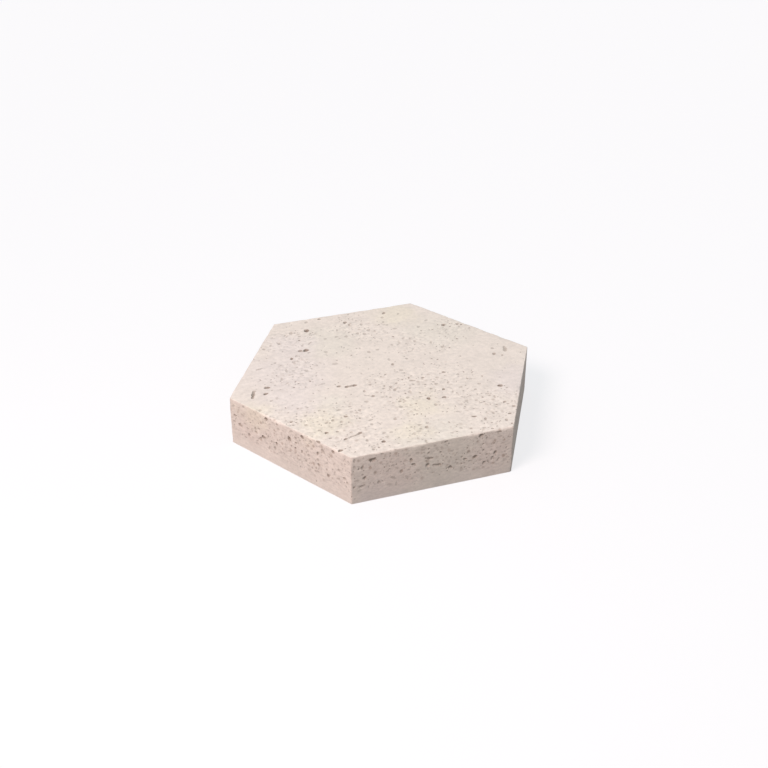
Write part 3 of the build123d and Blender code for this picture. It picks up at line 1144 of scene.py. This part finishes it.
def stone_material():
    material = bpy.data.materials.new("cast_stone")
    nodes = Nodes(material)
    where = nodes.add("ShaderNodeTexCoord").outputs["Object"]
    swirl = nodes.moved(where, SWIRL, SWIRL_REACH)
    ragged = nodes.moved(where, RAGGED, RAGGED_REACH)
    busy = busy_share(nodes, where, swirl)
    light, smudge, dark = (
        nodes.times(specks(nodes, ragged, *kind), busy) for kind in (LIGHT_SPECKS, SMUDGES, DARK_SPECKS)
    )
    holes = specks(nodes, where, *PINHOLES)
    grain, grain_edge = sand(nodes, where)
    layers = [
        (light, LIGHT_COVER, LIGHT_GRAIN),
        (smudge, SMUDGE_COVER, DARK_GRAIN_AND_ARRIS_SHADE),
        (dark, DARK_COVER, DARK_GRAIN_AND_ARRIS_SHADE),
        (nodes.spread(grain, *DARK_SAND, 0, 1), DARK_SAND_COVER, DARK_GRAIN_AND_ARRIS_SHADE),
        # pinholes are painted dark: painted shade in holes too fine for the mesh
        (holes, PINHOLE_COVER, VOID_DIRT_AND_SHADE),
        # painted shade that dims the eased arrises' light line
        (painted_arris_shade(nodes, where), ARRIS_SHADE_COVER, DARK_GRAIN_AND_ARRIS_SHADE),
        # dirt and painted shade in the voids and chips
        (void_dirt_and_shade(nodes), VOID_COVER, VOID_DIRT_AND_SHADE),
    ]
    colour = stone_colour(nodes, where, swirl, busy)
    colour = nodes.mix(1.0, colour, nodes.grey(nodes.spread(grain, 0, 1, *SAND_SHADES)), "MULTIPLY")
    for mask, cover, tint in layers:
        colour = nodes.mix(nodes.times(mask, cover), colour, tint)

    shader = nodes.add("ShaderNodeBsdfPrincipled")
    nodes.feed(shader.inputs["Base Color"], colour)
    nodes.feed(shader.inputs["Roughness"], nodes.spread(grain, 0, 1, *SAND_ROUGHNESS))
    nodes.feed(shader.inputs["Specular IOR Level"], SPECULAR)
    nodes.feed(shader.inputs["Normal"], stone_bump(nodes, where, light, dark, holes, grain_edge))
    nodes.feed(nodes.add("ShaderNodeOutputMaterial").inputs["Surface"], shader.outputs[0])
    return material


# Floor, light and camera. A light colour of 1 shows a surface that is square to it as its colour is written.
FLOOR_SIZE = 14.0
FLOOR_DROP = 0.0002
KEY_FROM = (205, 45)  # direction round the slab and height over the floor, in degrees
KEY_LIGHT = (0.79, 0.667, 0.642)
KEY_SOFTNESS = 24
NEAR_FROM = (220, 45)
NEAR_SHARE = 0.25  # of the key light, from a lamp close by, so that the far side is a little darker
NEAR_DISTANCE = 1.0
NEAR_SIZE = 0.45
ZENITH_LIGHT = (0.391, 0.529, 0.552)
HORIZON_LIGHT = (0.54, 0.51, 0.51)
FLOOR_BOUNCE = (0.17, 0.13, 0.115)
BOUNCE_FROM = 0.17  # the floor under and beside the slab throws no light up; further out it throws it all
BOUNCE_FULL = 0.24
SHADOW_DEPTH = 0.25
KEY_DISTANCE = 4.0
SENSOR_WIDTH = 36
LENS = 52.71
CAMERA_PLACE = (-0.3833, -1.0995, 0.7199)
CAMERA_HEADING = 19.199  # degrees
CAMERA_PITCH = 30.189
BACKGROUND = (1.0, 0.985, 1.0)


def seen_directly(nodes):
    """1 for what the camera sees, straight or in a mirror or through glass."""
    path = nodes.add("ShaderNodeLightPath")
    straight = nodes.math("MAXIMUM", path.outputs["Is Camera Ray"], path.outputs["Is Glossy Ray"])
    return nodes.math("MAXIMUM", straight, path.outputs["Is Transmission Ray"])


def blend_shaders(nodes, share, first, second):
    node = nodes.add("ShaderNodeMixShader")
    for socket, value in zip(node.inputs, (share, first, second)):
        nodes.feed(socket, value)
    return node.outputs[0]


def coloured(nodes, kind, colour):
    node = nodes.add(kind)
    nodes.feed(node.inputs["Color"], colour)
    return node.outputs[0]


def floor_material():
    """White with a light shadow to the eye, and dull and warm where it lights the slab."""
    material = bpy.data.materials.new("pale_floor")
    nodes = Nodes(material)
    where = nodes.add("ShaderNodeTexCoord").outputs["Object"]
    away = nodes.vector("DISTANCE", where, (0.0, 0.0, 0.0), "Value")
    bounce = nodes.mix(nodes.spread(away, BOUNCE_FROM, BOUNCE_FULL, 0, 1), (0.0, 0.0, 0.0), FLOOR_BOUNCE)
    dull = coloured(nodes, "ShaderNodeBsdfDiffuse", bounce)
    pale = coloured(nodes, "ShaderNodeBsdfDiffuse", BACKGROUND)
    white = coloured(nodes, "ShaderNodeEmission", BACKGROUND)
    shown = blend_shaders(nodes, SHADOW_DEPTH, white, pale)
    both = blend_shaders(nodes, seen_directly(nodes), dull, shown)
    nodes.feed(nodes.add("ShaderNodeOutputMaterial").inputs["Surface"], both)
    return material


def make_floor():
    half = FLOOR_SIZE / 2
    mesh = bpy.data.meshes.new("floor")
    ring = [(-half, -half, 0), (half, -half, 0), (half, half, 0), (-half, half, 0)]
    mesh.from_pydata(ring, [], [(0, 1, 2, 3)])
    mesh.materials.append(floor_material())
    floor = bpy.data.objects.new("floor", mesh)
    floor.location.z = -FLOOR_DROP
    bpy.context.scene.collection.objects.link(floor)


def make_world():
    """White to the eye, and a cool even sky where it lights the slab."""
    world = bpy.data.worlds.new("studio")
    bpy.context.scene.world = world
    nodes = Nodes(world)
    split = nodes.add("ShaderNodeSeparateXYZ")
    nodes.feed(split.inputs[0], nodes.add("ShaderNodeTexCoord").outputs["Generated"])
    sky = coloured(nodes, "ShaderNodeBackground", nodes.mix(split.outputs["Z"], HORIZON_LIGHT, ZENITH_LIGHT))
    white = coloured(nodes, "ShaderNodeBackground", BACKGROUND)
    both = blend_shaders(nodes, seen_directly(nodes), sky, white)
    nodes.feed(nodes.add("ShaderNodeOutputWorld").inputs["Surface"], both)


def add_lamp(name, kind, aim, colour, distance):
    """A lamp that shines on the slab from a direction; its light has the given colour there."""
    data = bpy.data.lights.new(name, kind)
    strength = max(colour)
    data.color = [c / strength for c in colour]
    data.energy = strength * math.pi
    if kind == "AREA":
        data.energy *= math.pi * distance**2
    around, up = math.radians(aim[0]), math.radians(aim[1])
    towards = Vector((math.cos(around) * math.cos(up), math.sin(around) * math.cos(up), math.sin(up)))
    lamp = bpy.data.objects.new(name, data)
    lamp.location = towards * distance
    lamp.rotation_euler = towards.to_track_quat("Z", "Y").to_euler()
    bpy.context.scene.collection.objects.link(lamp)
    return data


def make_lamps():
    far = add_lamp("key", "SUN", KEY_FROM, [c * (1 - NEAR_SHARE) for c in KEY_LIGHT], KEY_DISTANCE)
    far.angle = math.radians(KEY_SOFTNESS)
    near = add_lamp("near_key", "AREA", NEAR_FROM, [c * NEAR_SHARE for c in KEY_LIGHT], NEAR_DISTANCE)
    near.shape = "DISK"
    near.size = NEAR_SIZE


def make_camera():
    data = bpy.data.cameras.new("camera")
    data.sensor_width = SENSOR_WIDTH
    data.lens = LENS
    camera = bpy.data.objects.new("camera", data)
    camera.location = CAMERA_PLACE
    camera.rotation_euler = (math.radians(90 - CAMERA_PITCH), 0, math.radians(-CAMERA_HEADING))
    bpy.context.scene.collection.objects.link(camera)
    bpy.context.scene.camera = camera


slab = build_slab()
slab.data.materials.append(stone_material())
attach(slab, "root")
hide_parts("slab")

make_floor()
make_world()
make_lamps()
make_camera()
bpy.context.scene.view_settings.view_transform = "Standard"
